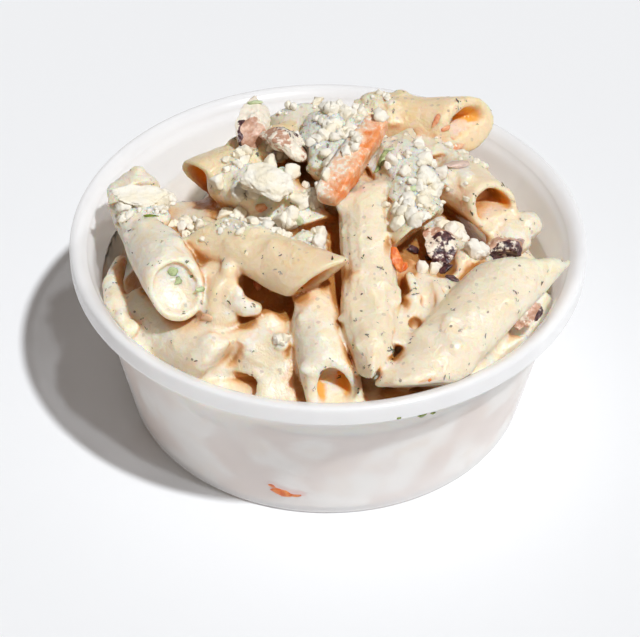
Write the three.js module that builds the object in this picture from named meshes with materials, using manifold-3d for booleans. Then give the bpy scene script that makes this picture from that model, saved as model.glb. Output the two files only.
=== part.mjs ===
// Greek pasta salad, heaped in the round translucent deli cup that holds it.
// Millimetres, +Z up. The origin is the centre of the cup's flat base, and -Y is the front.

import * as THREE from "three";
import { mergeVertices } from "three/addons/utils/BufferGeometryUtils.js";
import Module from "manifold-3d";

const wasm = await Module();
wasm.setup();

// Driving dimensions

const clearance = 0.35; // gap kept between neighbouring pieces

const cup = {
  rimRadius: 58.5,
  height: 44,
  wall: 0.8,
  baseRadius: 46.5,
  baseCorner: 1.2,
  wallTopRadius: 54.1, // outside of the wall just under the rim
  wallTopHeight: 39.6,
  skirtHeight: 4.8, // the rim's outer skirt hangs this far
  segments: 48,
};

// The rim from the wall to its top, as [in from the skirt's outside, down from the top]
const rimUnderside = [[3.2, 3.1], [2.8, 1.7], [1.7, 0.9], [cup.wall, 1.4]];
const rimTop = [[0, 0.6], [0.5, 0.12], [1.4, 0], [2.6, 0.5], [3.8, 1.7], [4.1, 2.5]];

const core = {
  reach: 52,
  edgeHeight: 32, // where the packed salad meets the wall
  peakHeight: 52,
  doming: 2.0, // power of the dome's fall from the middle to the wall
  floorRadius: 44,
  floorCorner: 2,
  segments: 44,
  rings: 9,
  facetRoom: 0.25, // more room at the wall, for the flats between its corners
};

const lump = { count: 34, reach: 48, height: 2.6, radius: 6.5, seed: 11 };

const penne = {
  sides: 10,
  lengths: 2,
  wall: 1.4,
  squash: 0.93, // height over width of a tube
  cut: 36, // slant of the ends, in degrees
  holeDepth: 11,
  overrun: 1.5, // a hollow starts this far outside the end
};

const crumb = {
  count: 42,
  small: 1.5,
  large: 2.7,
  shape: [2.2, 2, 1.8],
  scatter: 1.4,
  lift: 0.25,
  roughness: 0.3,
  seed: 29,
};

const dollopFaces = [6, 4]; // sides and rows of a dollop of dressing
const sliver = 0.02; // detail under this size is smoothed away after fusing

// Seeded random numbers, so that every build is the same
function seededRandom(seed) {
  let state = seed;
  return () => {
    state = (state * 1664525 + 1013904223) % 4294967296;
    return state / 4294967296;
  };
}

// Solids and geometries

function bareGeometry(geometry) {
  geometry.deleteAttribute("normal");
  geometry.deleteAttribute("uv");
  return mergeVertices(geometry, 1e-4);
}

function solidOf(geometry) {
  const bare = bareGeometry(geometry);
  return new wasm.Manifold(
    new wasm.Mesh({
      numProp: 3,
      vertProperties: new Float32Array(bare.attributes.position.array),
      triVerts: new Uint32Array(bare.index.array),
    }),
  );
}

function geometryOf(solid) {
  const mesh = solid.getMesh();
  const geometry = new THREE.BufferGeometry();
  geometry.setAttribute("position", new THREE.BufferAttribute(mesh.vertProperties, 3));
  geometry.setIndex(new THREE.BufferAttribute(mesh.triVerts, 1));
  geometry.computeVertexNormals();
  return geometry;
}

function moveVertices(geometry, place) {
  const position = geometry.attributes.position;
  const point = new THREE.Vector3();
  for (let i = 0; i < position.count; i += 1) {
    point.fromBufferAttribute(position, i);
    place(point);
    position.setXYZ(i, point.x, point.y, point.z);
  }
  return geometry;
}

// The largest body of a fused solid, without sealed hollows or loose scraps
function mainBody(solid) {
  return solid.decompose().reduce((a, b) => (b.volume() > a.volume() ? b : a));
}

// A turned solid: the profile is [radius, height] pairs from the axis round to the axis
function turned(profile, segments) {
  const points = profile.map(([radius, height]) => new THREE.Vector2(radius, height));
  return new THREE.LatheGeometry(points, segments).rotateX(Math.PI / 2);
}

// A profile moved square to itself, to the left of its way
function offsetProfile(profile, distance) {
  return profile.map((point, i) => {
    const [r0, z0] = profile[Math.max(i - 1, 0)];
    const [r1, z1] = profile[Math.min(i + 1, profile.length - 1)];
    const length = Math.hypot(r1 - r0, z1 - z0);
    const [radius, height] = point;
    return [radius - (distance * (z1 - z0)) / length, height + (distance * (r1 - r0)) / length];
  });
}

// The cup

// Radius of the wall's outside at a height
function outerRadius(z) {
  const rise = (z - cup.baseCorner) / (cup.wallTopHeight - cup.baseCorner);
  return cup.baseRadius + (cup.wallTopRadius - cup.baseRadius) * rise;
}

function innerRadius(z) {
  return outerRadius(z) - cup.wall;
}

function rimPoint([inward, down]) {
  return [cup.rimRadius - inward, cup.height - down];
}

const outsideProfile = [
  [0, 0],
  [cup.baseRadius - cup.baseCorner, 0],
  [cup.baseRadius - cup.baseCorner * 0.3, cup.baseCorner * 0.3],
  [cup.baseRadius, cup.baseCorner],
  [cup.wallTopRadius, cup.wallTopHeight],
  ...rimUnderside.map(rimPoint),
  rimPoint([cup.wall, cup.skirtHeight]),
  rimPoint([0, cup.skirtHeight]),
  ...rimTop.slice(0, 2).map(rimPoint),
];

// The inside of the cup from the middle of the floor to the top of the rim
const insideProfile = [
  [0, cup.wall],
  [innerRadius(cup.wall) - cup.baseCorner, cup.wall],
  [innerRadius(cup.wall + cup.baseCorner), cup.wall + cup.baseCorner],
  [innerRadius(cup.wallTopHeight), cup.wallTopHeight],
  ...rimTop.slice(2).reverse().map(rimPoint),
];

function cupGeometry() {
  return turned([...outsideProfile, ...insideProfile.slice().reverse()], cup.segments);
}

const roomProfile = offsetProfile(insideProfile, clearance);

// Everything that the salad may not enter: the cup itself, its outside and what is below
function cupSurround() {
  const reach = cup.rimRadius + 12;
  const below = -5;
  const top = roomProfile.at(-1)[1];
  const outside = [[0, below], [reach, below], [reach, top]];
  return turned([...outside, ...roomProfile.slice().reverse()], cup.segments);
}

// Radius inside which the salad stays at a height
function roomRadius(z) {
  const next = roomProfile.findIndex(([, height]) => height > z);
  if (next < 0) return Infinity;
  if (next < 2) return roomProfile[1][0];
  const [r0, z0] = roomProfile[next - 1];
  const [r1, z1] = roomProfile[next];
  return r0 + ((r1 - r0) * (z - z0)) / (z1 - z0);
}

// A piece that meets the wall is pressed flat against it
function pressInside(point) {
  const room = roomRadius(point.z) - core.facetRoom;
  const reach = Math.hypot(point.x, point.y);
  if (reach <= room) return;
  point.x *= room / reach;
  point.y *= room / reach;
}

// The packed salad under the pieces that show

// Places along the wall where the salad leaves room: centre, radius and depth
const pockets = [
  { x: -37, y: 33, radius: 15, depth: 17 },
  { x: -52, y: 6, radius: 10, depth: 9 },
  { x: 48, y: 16, radius: 14, depth: 14 },
  { x: 2, y: 50, radius: 14, depth: 13 },
];

function scatteredLumps() {
  const random = seededRandom(lump.seed);
  return Array.from({ length: lump.count }, () => {
    const angle = random() * 2 * Math.PI;
    const reach = lump.reach * Math.sqrt(random());
    return {
      x: reach * Math.cos(angle),
      y: reach * Math.sin(angle),
      radius: lump.radius * (0.7 + 0.6 * random()),
      depth: lump.height * (0.6 - 1.6 * random()),
    };
  });
}

const hollowsAndLumps = [...pockets, ...scatteredLumps()];

function coreHeight(x, y) {
  const share = Math.min(1, Math.hypot(x, y) / core.reach);
  const dome = 1 - share ** core.doming;
  let height = core.edgeHeight + (core.peakHeight - core.edgeHeight) * dome;
  for (const spot of hollowsAndLumps) {
    const away = (x - spot.x) ** 2 + (y - spot.y) ** 2;
    height -= spot.depth * Math.exp(-away / spot.radius ** 2);
  }
  return height;
}

function coreSolid() {
  const floor = cup.wall + clearance + 0.1;
  const corner = floor + core.floorCorner;
  const profile = [[0, floor], [core.floorRadius, floor], [core.floorRadius + core.floorCorner, corner]];
  for (let ring = core.rings; ring >= 0; ring -= 1) {
    profile.push([(core.reach * ring) / core.rings, core.edgeHeight]);
  }
  return solidOf(
    moveVertices(turned(profile, core.segments), (point) => {
      if (point.z > corner + 1) point.z = coreHeight(point.x, point.y);
      pressInside(point);
    }),
  );
}

// Penne: near and far are the middles of the two slanted ends. turn is the way the
// slant faces, in degrees about the tube. holes are the depths of the near and far hollow.

const pennePieces = [
  // Pieces that show from the front
  { near: [-32.2, -31.5, 53], far: [-43, 10, 47], radius: 6.7, turn: 180, cut: 30, holes: [4, 0] },
  { near: [-2, -31, 56], far: [-28.1, -14.1, 54], radius: 6.1, turn: 33, cut: 40 },
  { near: [10.1, -43.4, 46.8], far: [9.3, -1.5, 58.5], radius: 6, turn: -20, cut: 45 },
  { near: [18.6, -50.2, 43.2], far: [43.4, -17.6, 50.5], radius: 8, turn: -50, cut: 44, squash: 0.74, bow: 0.8 },
  { near: [31.5, 32, 51.5], far: [4, 36.3, 48.5], radius: 6.8, turn: 90, cut: 44 },
  { near: [37.3, -0.9, 51.5], far: [24, 27, 43], radius: 6.2, turn: 200, cut: 20 },
  { near: [-28, 10, 50], far: [0, 28, 50], radius: 6.9, turn: -40, cut: 30 },
  { near: [2.6, -50, 40.6], far: [-6, -17, 48], radius: 5.8, turn: 180, cut: 38, holes: [8, 0] },
  { near: [-22.5, -38.5, 39], far: [-43.5, -17.5, 37], radius: 6.8, turn: 0, cut: 20, holes: [0, 8] },
  { near: [-18.7, -42.6, 35.2], far: [-4, -41, 33], radius: 5.6, turn: 225, cut: 38, holes: [7, 0] },
  { near: [-20.5, -28.5, 49], far: [-31, -3, 45], radius: 6.2, turn: -60, cut: 30, holes: [5, 0] },
  { near: [19.2, -15.5, 57], far: [13.5, 17, 56], radius: 6.6, turn: -42, cut: 48 },
  { near: [15.8, -38.9, 44.5], far: [31.5, -9, 46.5], radius: 6.2, turn: 0, squash: 0.7 },
  { near: [7, 7, 54.5], far: [-8, 33, 52], radius: 6.2, turn: 30, cut: 34 },
  { near: [25, 19, 47], far: [10, 42, 44], radius: 6.2, turn: 60, cut: 30 },
  // Pieces half buried between them
  { near: [-4, -8, 50.5], far: [-18, 8, 50], radius: 6, turn: 20, cut: 34 },
  { near: [-12, -36, 37], far: [8, -22, 43], radius: 6, turn: 20, cut: 34 },
  { near: [30, -38, 35], far: [47, -8, 35], radius: 6.2, turn: 30 },
  { near: [-39, 12, 36], far: [-12, -6, 45], radius: 6.3, turn: 150, cut: 34 },
  { near: [36, -14, 37.5], far: [10, -4, 43], radius: 6.2, turn: 160, cut: 34 },
  // Pieces at the back and along the wall
  { near: [-14, 36.5, 41], far: [22, 37.5, 37], radius: 6.3, turn: -30 },
  { near: [-14, 26, 45], far: [-19, 43, 30], radius: 6.1, turn: 190, cut: 34 },
  { near: [33, 33, 33], far: [14, 44, 30], radius: 6, turn: 80, cut: 34 },
  { near: [-44, -8, 26], far: [-35, 22, 19], radius: 5.8, turn: 100, cut: 34 },
  { near: [43, 3, 30], far: [33, 27, 29], radius: 6, turn: 10, cut: 34 },
];

// Dressing gathered between the pieces
const dollops = [
  { at: [-14, -35.5, 40.5], size: [13, 11, 9] },
  { at: [-6.5, -45.5, 31.5], size: [12, 10, 9] },
  { at: [14, -47.5, 34], size: [20, 10, 9] },
  { at: [-42, -28, 34], size: [12, 14, 8] },
  { at: [-14, 2, 54], size: [16, 12, 10] },
  { at: [-20, 6, 52], size: [14, 12, 8] },
  { at: [2, 8, 58], size: [14, 16, 10] },
  { at: [16, 4, 60], size: [10, 16, 7] },
  { at: [29, 8, 52], size: [12, 12, 8] },
  { at: [45.5, 0, 46], size: [8.4, 6.4, 6] },
  { at: [40.5, -4.5, 45], size: [10, 8, 6] },
  { at: [37, -36, 39], size: [18, 10, 9] },
  { at: [20, -20, 47], size: [12, 12, 8] },
];

function penneLength(piece) {
  return new THREE.Vector3(...piece.near).distanceTo(new THREE.Vector3(...piece.far));
}

// A straight cylinder along Y becomes the stretch of a penne between two places on it
function bendTube(geometry, piece, from, to) {
  const near = new THREE.Vector3(...piece.near);
  const along = new THREE.Vector3(...piece.far).sub(near).normalize();
  const side = along.clone().cross(new THREE.Vector3(0, 0, 1)).normalize();
  const up = side.clone().cross(along);
  const slant = Math.tan(THREE.MathUtils.degToRad(piece.cut ?? penne.cut));
  const turn = THREE.MathUtils.degToRad(piece.turn);
  return moveVertices(geometry, (point) => {
    const across = point.x;
    const high = point.z;
    const reach = from + (to - from) * (point.y + 0.5);
    const shift = slant * (high * Math.cos(turn) + across * Math.sin(turn));
    const share = reach / penneLength(piece);
    const rise = (piece.bow ?? 0) * 4 * share * (1 - share);
    point.copy(near);
    point.addScaledVector(along, reach - shift);
    point.addScaledVector(side, across);
    point.addScaledVector(up, high * (piece.squash ?? penne.squash) + rise);
    pressInside(point);
  });
}

function penneSolid(piece) {
  const { radius } = piece;
  const straight = new THREE.CylinderGeometry(radius, radius, 1, penne.sides, penne.lengths);
  return solidOf(bendTube(straight, piece, 0, penneLength(piece)));
}

// The hollow of a penne from each open end
function hollowSolids(piece) {
  const length = penneLength(piece);
  const radius = piece.radius - penne.wall;
  const [nearDepth, farDepth] = piece.holes ?? [penne.holeDepth, penne.holeDepth];
  const stretches = [];
  if (nearDepth > 0) stretches.push([-penne.overrun, nearDepth]);
  if (farDepth > 0) stretches.push([length - farDepth, length + penne.overrun]);
  return stretches.map(([from, to]) => {
    const straight = new THREE.CylinderGeometry(radius, radius, 1, penne.sides - 2, 1);
    return solidOf(bendTube(straight, piece, from, to));
  });
}

// Toppings that are pieces of their own

// A rough lump: a ball of flat faces, pushed in and out
function lumpGeometry([width, length, thickness], seed, detail, roughness) {
  const random = seededRandom(seed);
  const ball = bareGeometry(new THREE.IcosahedronGeometry(0.5, detail));
  return moveVertices(ball, (point) => {
    point.multiplyScalar(1 + roughness * (random() - 0.5));
    point.multiply(new THREE.Vector3(width, length, thickness));
  });
}

// A carrot stick: a box with worn edges, thinner at its far end and a little bowed
function carrotGeometry([width, length, thickness]) {
  const [wornEdge, thinning, waisting, bow] = [0.84, 0.1, 0.12, 0.7];
  const box = new THREE.BoxGeometry(width, length, thickness, 2, 6, 2);
  return moveVertices(box, (point) => {
    const share = point.y / (length / 2);
    const onEdge = Math.abs(point.x) > 1 && Math.abs(point.z) > 1;
    const width = (onEdge ? wornEdge : 1) * (1 - thinning * share - waisting * share ** 2);
    point.x *= width;
    point.z = point.z * width - bow * share ** 2;
  });
}

// An olive wedge: a thick curved slice, hollow side down
function oliveGeometry([length, width, thickness], bend) {
  const ball = new THREE.SphereGeometry(0.5, 12, 8);
  return moveVertices(ball, (point) => {
    const share = point.x * 2;
    point.x *= length;
    point.y *= width * (1 - 0.15 * share);
    point.z = point.z * thickness - bend * share ** 2;
  });
}

const toppings = {
  carrot_stick: {
    size: [6.4, 25.5, 4.8],
    shape: (size) => carrotGeometry(size),
    at: [5.3, -0.1, 65],
    turn: [14, -6, -29],
    colour: 0xf29a5e,
  },
  olive_wedge: {
    size: [15, 8, 6],
    shape: (size) => oliveGeometry(size, 1.5),
    at: [-17.2, 19.5, 60.5],
    turn: [20, 50, 74],
    colour: 0xd9b39c,
  },
  olive_slice: {
    size: [13, 9, 5],
    shape: (size) => oliveGeometry(size, 1.2),
    at: [-9.5, 12, 60.2],
    turn: [-14, 18, -40],
    colour: 0xe6d2bf,
  },
  feta_block: {
    size: [14, 10.5, 7],
    shape: (size) => lumpGeometry(size, 5, 1, 0.22),
    at: [-14.2, -3.5, 60.4],
    turn: [16, 6, -12],
    colour: 0xefe9d6,
  },
  feta_left: {
    size: [13.5, 6.5, 4.4],
    shape: (size) => lumpGeometry(size, 9, 1, 0.24),
    at: [-41.2, -3.2, 55.6],
    turn: [-8, 10, 14],
    colour: 0xf2edda,
  },
  olive_dark: {
    size: [12, 8, 5],
    shape: (size) => oliveGeometry(size, 1),
    at: [24.8, -13, 49.6],
    turn: [24, 12, -50],
    colour: 0x4a2c33,
  },
  olive_low: {
    size: [10, 6.5, 5],
    shape: (size) => oliveGeometry(size, 0.8),
    at: [39.6, -9, 47.4],
    turn: [6, -4, 8],
    colour: 0x6b5148,
  },
  olive_right: {
    size: [9, 6.5, 5],
    shape: (size) => oliveGeometry(size, 0.8),
    at: [43.2, -27.2, 43.2],
    turn: [0, -24, 54],
    colour: 0xa07a68,
  },
};

// A topping in its place, larger all round by grow
function toppingSolid(topping, grow) {
  const turn = new THREE.Euler(...topping.turn.map(THREE.MathUtils.degToRad));
  const geometry = topping.shape(topping.size.map((side) => side + 2 * grow));
  geometry.applyMatrix4(new THREE.Matrix4().makeRotationFromEuler(turn));
  return solidOf(geometry.translate(...topping.at));
}

// Feta crumbs, fused to what they lie on

// Where crumbs gather: middle of the patch, its half width, and its share of the crumbs
const crumbPatches = [
  { x: 0, y: 17, spread: 9, share: 0.34 },
  { x: -19, y: -4, spread: 8, share: 0.24 },
  { x: 18, y: -1, spread: 8, share: 0.22 },
  { x: -38, y: -2, spread: 6, share: 0.08 },
  { x: 24, y: -16, spread: 8, share: 0.12 },
];

// Height of the highest face of a mesh above a point
function surfaceHeight(mesh, x, y) {
  const ray = new THREE.Raycaster(new THREE.Vector3(x, y, 120), new THREE.Vector3(0, 0, -1));
  return ray.intersectObject(mesh, false)[0]?.point.z ?? 0;
}

function crumbSolids(heap) {
  const surface = new THREE.Mesh(geometryOf(heap));
  const random = seededRandom(crumb.seed);
  const solids = [];
  for (const patch of crumbPatches) {
    const count = Math.round(crumb.count * patch.share);
    for (let i = 0; i < count; i += 1) {
      const x = patch.x + patch.spread * (random() + random() - 1) * crumb.scatter;
      const y = patch.y + patch.spread * (random() + random() - 1) * crumb.scatter;
      const size = crumb.small + (crumb.large - crumb.small) * random() ** 2;
      const sizes = crumb.shape.map((side) => side * size);
      const piece = lumpGeometry(sizes, crumb.seed + 71 + solids.length, 0, crumb.roughness);
      piece.translate(x, y, surfaceHeight(surface, x, y) + size * crumb.lift);
      solids.push(solidOf(piece));
    }
  }
  return solids;
}

function dollopSolid({ at, size }) {
  const ball = new THREE.SphereGeometry(0.5, ...dollopFaces).scale(...size).translate(...at);
  return solidOf(moveVertices(ball, pressInside));
}

// The heap: the packed salad with the penne and crumbs fused on, clear of the toppings
function heapSolid() {
  const tubes = wasm.Manifold.union([coreSolid(), ...pennePieces.map(penneSolid)]);
  const hollows = wasm.Manifold.union(pennePieces.flatMap(hollowSolids));
  const opened = wasm.Manifold.union([tubes.subtract(hollows), ...dollops.map(dollopSolid)]);
  const crumbed = wasm.Manifold.union([opened, ...crumbSolids(opened)]);
  const room = Object.values(toppings).map((topping) => toppingSolid(topping, clearance));
  const kept = crumbed.subtract(wasm.Manifold.union([...room, solidOf(cupSurround())]));
  return mainBody(kept.simplify(sliver));
}

// The model: one mesh for each piece

function pieceMesh(name, geometry, color, roughness) {
  const look = new THREE.MeshStandardMaterial({ color, roughness, metalness: 0 });
  const mesh = new THREE.Mesh(geometry, look);
  mesh.name = name;
  return mesh;
}

const salad = new THREE.Group();
salad.add(pieceMesh("cup", cupGeometry(), 0xe4e4e8, 0.35));
salad.add(pieceMesh("pasta_heap", geometryOf(heapSolid()), 0xecdcc0, 0.5));
for (const [name, topping] of Object.entries(toppings)) {
  salad.add(pieceMesh(name, geometryOf(toppingSolid(topping, 0)), topping.colour, 0.6));
}

export default salad;
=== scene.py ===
import math

import bmesh
import bpy
import numpy as np
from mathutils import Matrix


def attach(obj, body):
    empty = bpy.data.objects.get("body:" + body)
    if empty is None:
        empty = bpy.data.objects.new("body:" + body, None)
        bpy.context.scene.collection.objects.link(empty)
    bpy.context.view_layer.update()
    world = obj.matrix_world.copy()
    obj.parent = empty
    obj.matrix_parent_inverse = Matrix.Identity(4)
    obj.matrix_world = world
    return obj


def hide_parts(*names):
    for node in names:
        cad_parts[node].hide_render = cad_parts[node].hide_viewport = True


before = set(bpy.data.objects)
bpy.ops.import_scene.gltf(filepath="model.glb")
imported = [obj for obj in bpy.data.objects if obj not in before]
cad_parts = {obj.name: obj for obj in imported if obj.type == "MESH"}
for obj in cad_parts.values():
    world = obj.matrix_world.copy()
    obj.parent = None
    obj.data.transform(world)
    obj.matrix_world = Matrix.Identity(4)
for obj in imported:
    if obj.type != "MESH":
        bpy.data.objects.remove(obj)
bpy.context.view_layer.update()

import openvdb
from mathutils import Matrix, Quaternion, Vector
from mathutils.bvhtree import BVHTree

mm = 0.001  # the salad is worked out in millimetres and made in metres


# Camera: it looks along +Y and down, as the photograph does

view = {
    "focal": 2131.0,  # in pixels of the picture
    "size": (640, 637),
    "sensor": 36.0,
    "distance": 500.0,
    "tilt": 41.2,
    "roll": 0.5,
    "aim": (-1.7, 0.0, 17.7),
}


def cameraAxes():
    tilt, roll = math.radians(view["tilt"]), math.radians(view["roll"])
    forward = np.array([0, math.cos(tilt), -math.sin(tilt)])
    upward = np.array([0, math.sin(tilt), math.cos(tilt)])
    sideways = np.array([1.0, 0, 0])
    right = math.cos(roll) * sideways + math.sin(roll) * upward
    up = math.cos(roll) * upward - math.sin(roll) * sideways
    return forward, right, up, np.array(view["aim"]) - forward * view["distance"]


def addCamera():
    forward, right, up, place = cameraAxes()
    turn = Matrix([[right[i], up[i], -forward[i]] for i in range(3)]).to_4x4()
    lens = bpy.data.cameras.new("camera")
    lens.sensor_width = view["sensor"]
    lens.lens = view["sensor"] * view["focal"] / view["size"][0]
    lens.clip_end = 20  # metres
    camera = bpy.data.objects.new("camera", lens)
    camera.matrix_world = Matrix.Translation(Vector(place * mm)) @ turn
    bpy.context.scene.collection.objects.link(camera)
    bpy.context.scene.camera = camera


# Light: a low hard sun from the front right, and a weak fill from all round

light = {
    "sun": 2.95,
    "sunColor": (0.97, 1.0, 1.03),
    "from": (16.6, -17.5, 44.0),
    "softness": 3.0,
    "fill": 0.16,
    "fillColor": (1.0, 0.87, 0.77),
}


def addLight():
    lamp = bpy.data.lights.new("sun", "SUN")
    lamp.energy = light["sun"]
    lamp.color = light["sunColor"]
    lamp.angle = math.radians(light["softness"])
    sun = bpy.data.objects.new("sun", lamp)
    sun.rotation_euler = Vector(light["from"]).to_track_quat("Z", "Y").to_euler()
    bpy.context.scene.collection.objects.link(sun)
    world = bpy.data.worlds.new("fill")
    world.use_nodes = True
    background = world.node_tree.nodes["Background"]
    background.inputs["Color"].default_value = (*light["fillColor"], 1)
    background.inputs["Strength"].default_value = light["fill"]
    bpy.context.scene.world = world
    bpy.context.scene.view_settings.view_transform = "Standard"


# Shader sockets that can be used in sums, and the nodes of one material

class Sock:
    def __init__(self, look, socket):
        self.look = look
        self.socket = socket

    def maths(self, operation, first, second):
        return self.look.node("ShaderNodeMath", {"operation": operation}, {0: first, 1: second})

    def __add__(self, other):
        return self.maths("ADD", self, other)

    def __sub__(self, other):
        return self.maths("SUBTRACT", self, other)

    def __rsub__(self, other):
        return self.maths("SUBTRACT", other, self)

    def __mul__(self, other):
        return self.maths("MULTIPLY", self, other)

    def __pow__(self, other):
        return self.maths("POWER", self, other)

    def __rpow__(self, other):
        return self.maths("POWER", other, self)

    __radd__ = __add__
    __rmul__ = __mul__

    # 0 below low, 1 above high, smooth in between
    def between(self, low, high):
        inputs = {"Value": self, "From Min": low, "From Max": high}
        return self.look.node("ShaderNodeMapRange", {"interpolation_type": "SMOOTHSTEP"}, inputs)

    # the first colour where this is 0, the second where it is 1
    def mix(self, first, second):
        return self.look.node("ShaderNodeMix", {"data_type": "RGBA"}, {0: self, 6: first, 7: second}, 2)


class Look:
    def __init__(self, name):
        self.material = bpy.data.materials.new(name)
        self.material.use_nodes = True
        self.tree = self.material.node_tree
        self.shader = self.tree.nodes["Principled BSDF"]

    def fill(self, node, inputs):
        for key, value in inputs.items():
            socket = node.inputs[key]
            if isinstance(value, Sock):
                self.tree.links.new(value.socket, socket)
            elif isinstance(value, tuple) and len(socket.default_value) == 4:
                socket.default_value = (*value, 1)
            else:
                socket.default_value = value

    def node(self, kind, settings=None, inputs=None, output=0):
        node = self.tree.nodes.new(kind)
        for key, value in (settings or {}).items():
            setattr(node, key, value)
        self.fill(node, inputs or {})
        return Sock(self, node.outputs[output])

    def place(self):
        return self.node("ShaderNodeTexCoord", output="Object")

    # clouds of a size in mm, from 0 to 1
    def noise(self, size, detail=2.0, rough=0.5, warp=0.0):
        inputs = {"Vector": self.place(), "Scale": 1 / (size * mm), "Detail": detail}
        inputs.update({"Roughness": rough, "Distortion": warp})
        return self.node("ShaderNodeTexNoise", None, inputs, "Fac")

    def attribute(self, name):
        return self.node("ShaderNodeAttribute", {"attribute_name": name}, output="Fac")

    # spots of a size in mm that only some cells of the pattern have
    def spots(self, cell, size, share, seed):
        added = {0: self.place(), 1: (seed, 0.3, 0.7)}
        shifted = self.node("ShaderNodeVectorMath", {"operation": "ADD"}, added)
        inputs = {"Vector": shifted, "Scale": 1 / (cell * mm)}
        away = self.node("ShaderNodeTexVoronoi", None, inputs, "Distance")
        tint = self.node("ShaderNodeTexVoronoi", None, inputs, "Color")
        chosen = self.node("ShaderNodeSeparateColor", None, {0: tint}).between(1 - share, 1 - share + 0.02)
        ragged = away + (self.noise(cell * 0.3) - 0.5) * 0.25
        return (1 - ragged.between(size / cell * 0.4, size / cell * 0.6)) * chosen

    def bump(self, height, depth, before=None):
        inputs = {"Height": height, "Distance": depth * mm, "Strength": 1.0}
        if before:
            inputs["Normal"] = before
        return self.node("ShaderNodeBump", None, inputs)

    def finish(self, inputs):
        self.fill(self.shader, inputs)
        return self.material


# Finishes: the colours of each are in a dictionary, beside the look that uses them

cream = {
    "milk": (0.95, 0.88, 0.77),
    "base": (0.93, 0.79, 0.59),
    "pasta": (0.90, 0.69, 0.40),
    # tan and deep are painted shade: tan where the skin is closed in, dark brown deep between the pieces
    "tan": (0.86, 0.58, 0.33),
    # the hollows of open ends: partly the bare pasta inside, partly a painted glow in saturated orange
    "hollow": (0.88, 0.46, 0.09),
    "deep": (0.56, 0.25, 0.07),
    "fleck": (0.12, 0.10, 0.07),
    "veiled": (0.50, 0.44, 0.37),
    "cheese": (0.96, 0.90, 0.78),
    "glow": (0.80, 0.22, 0.01),  # painted glow: emission that stands in for light that the thin wall of an open end passes on
    "glowStrength": 0.05,
    "depth": 2.2,  # how far light goes into it, in mm
}


def creamLook():
    look = Look("dressedPasta")
    gap, bare, hollow, crumbly = (look.attribute(name) for name in ("gap", "bare", "hollow", "crumbly"))
    cloud = look.noise(7, 3, 0.6, 0.4)
    small = look.noise(2.2, 3, 0.6, 0.5)
    crumb = look.noise(1.1, 4, 0.7)
    milky = (cloud * 0.55 + small * 0.45).between(0.42, 0.58)
    color = milky.mix(cream["base"], cream["milk"])
    color = (bare + (small - 0.5) * 0.9 + (cloud - 0.5) * 0.8).between(0.1, 0.9).mix(color, cream["pasta"])
    # painted shade: the skin turns tan where it is closed in
    shade = gap + (cloud - 0.5) * 0.25
    color = shade.between(0.45, 0.75).mix(color, cream["tan"])
    color = (crumbly.between(0.2, 0.7) * crumb.between(0.40, 0.55)).mix(color, cream["cheese"])
    # the hollows of open ends: bare pasta inside, made saturated orange as a painted glow
    color = hollow.between(0.1, 0.9).mix(color, cream["hollow"])
    # painted shade: dark brown in the deepest gaps
    color = shade.between(0.68, 0.90).mix(color, cream["deep"])
    color = (look.spots(2.0, 0.9, 0.3, 2.0) * 0.45).mix(color, cream["veiled"])
    color = (look.spots(2.6, 0.6, 0.25, 5.0) * 0.7).mix(color, cream["fleck"])
    fine = look.noise(0.8, 3, 0.6)
    normal = look.bump(small, 0.5)
    normal = look.bump(fine, 0.10, normal)
    normal = look.bump(crumb * crumbly, 1.3, normal)
    return look.finish({
        "Base Color": color,
        "Roughness": 0.24 + small * 0.2 + crumbly * 0.25,
        "Normal": normal,
        "Subsurface Weight": 1.0,
        "Subsurface Radius": (1.0, 0.6, 0.3),
        "Subsurface Scale": cream["depth"] * mm,
        # painted glow: a faint orange emission in the hollows
        "Emission Color": hollow.between(0.3, 1.0).mix((0, 0, 0), cream["glow"]),
        "Emission Strength": cream["glowStrength"],
    })


feta = {"white": (0.99, 0.94, 0.83), "warm": (0.98, 0.89, 0.70), "pits": (0.96, 0.84, 0.60), "depth": 0.5}


def fetaLook():
    look = Look("feta")
    cloud, grain = look.noise(5, 2), look.noise(0.7, 4, 0.65)
    color = cloud.between(0.4, 0.65).mix(feta["white"], feta["warm"])
    return look.finish({
        "Base Color": grain.between(0.25, 0.4).mix(feta["pits"], color),
        "Roughness": 0.65 + grain * 0.2,
        "Normal": look.bump(grain, 0.3),
        "Subsurface Weight": 0.1,
        "Subsurface Radius": (1.0, 0.9, 0.8),
        "Subsurface Scale": feta["depth"] * mm,
    })


carrot = {
    "deep": (0.86, 0.25, 0.06),
    "bright": (0.92, 0.40, 0.17),
    "frost": (0.95, 0.62, 0.42),
    "white": (0.96, 0.84, 0.70),
    "depth": 1.5,
}


def carrotLook():
    look = Look("carrot")
    cloud, streak = look.noise(3.5, 3, 0.6, 0.6), look.noise(1.0, 3)
    frosty = (cloud * 0.7 + streak * 0.5 + look.attribute("frost") * 0.25).between(0.50, 0.80)
    color = cloud.between(0.3, 0.6).mix(carrot["deep"], carrot["bright"])
    white = (streak * 0.6 + cloud * 0.4 + look.attribute("frost") * 0.12).between(0.58, 0.66)
    color = frosty.mix(color, carrot["frost"])
    return look.finish({
        "Base Color": white.mix(color, carrot["white"]),
        "Roughness": 0.2 + streak * 0.25,
        "Normal": look.bump(streak, 0.35),
        "Subsurface Weight": 0.3,
        "Subsurface Radius": (1.0, 0.4, 0.15),
        "Subsurface Scale": carrot["depth"] * mm,
    })


olive = {
    "flesh": ((0.55, 0.30, 0.20), (0.82, 0.56, 0.42)),
    "skin": ((0.05, 0.022, 0.028), (0.20, 0.09, 0.09)),
    "coat": (0.93, 0.84, 0.70),
    "depth": 1.0,
}


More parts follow.
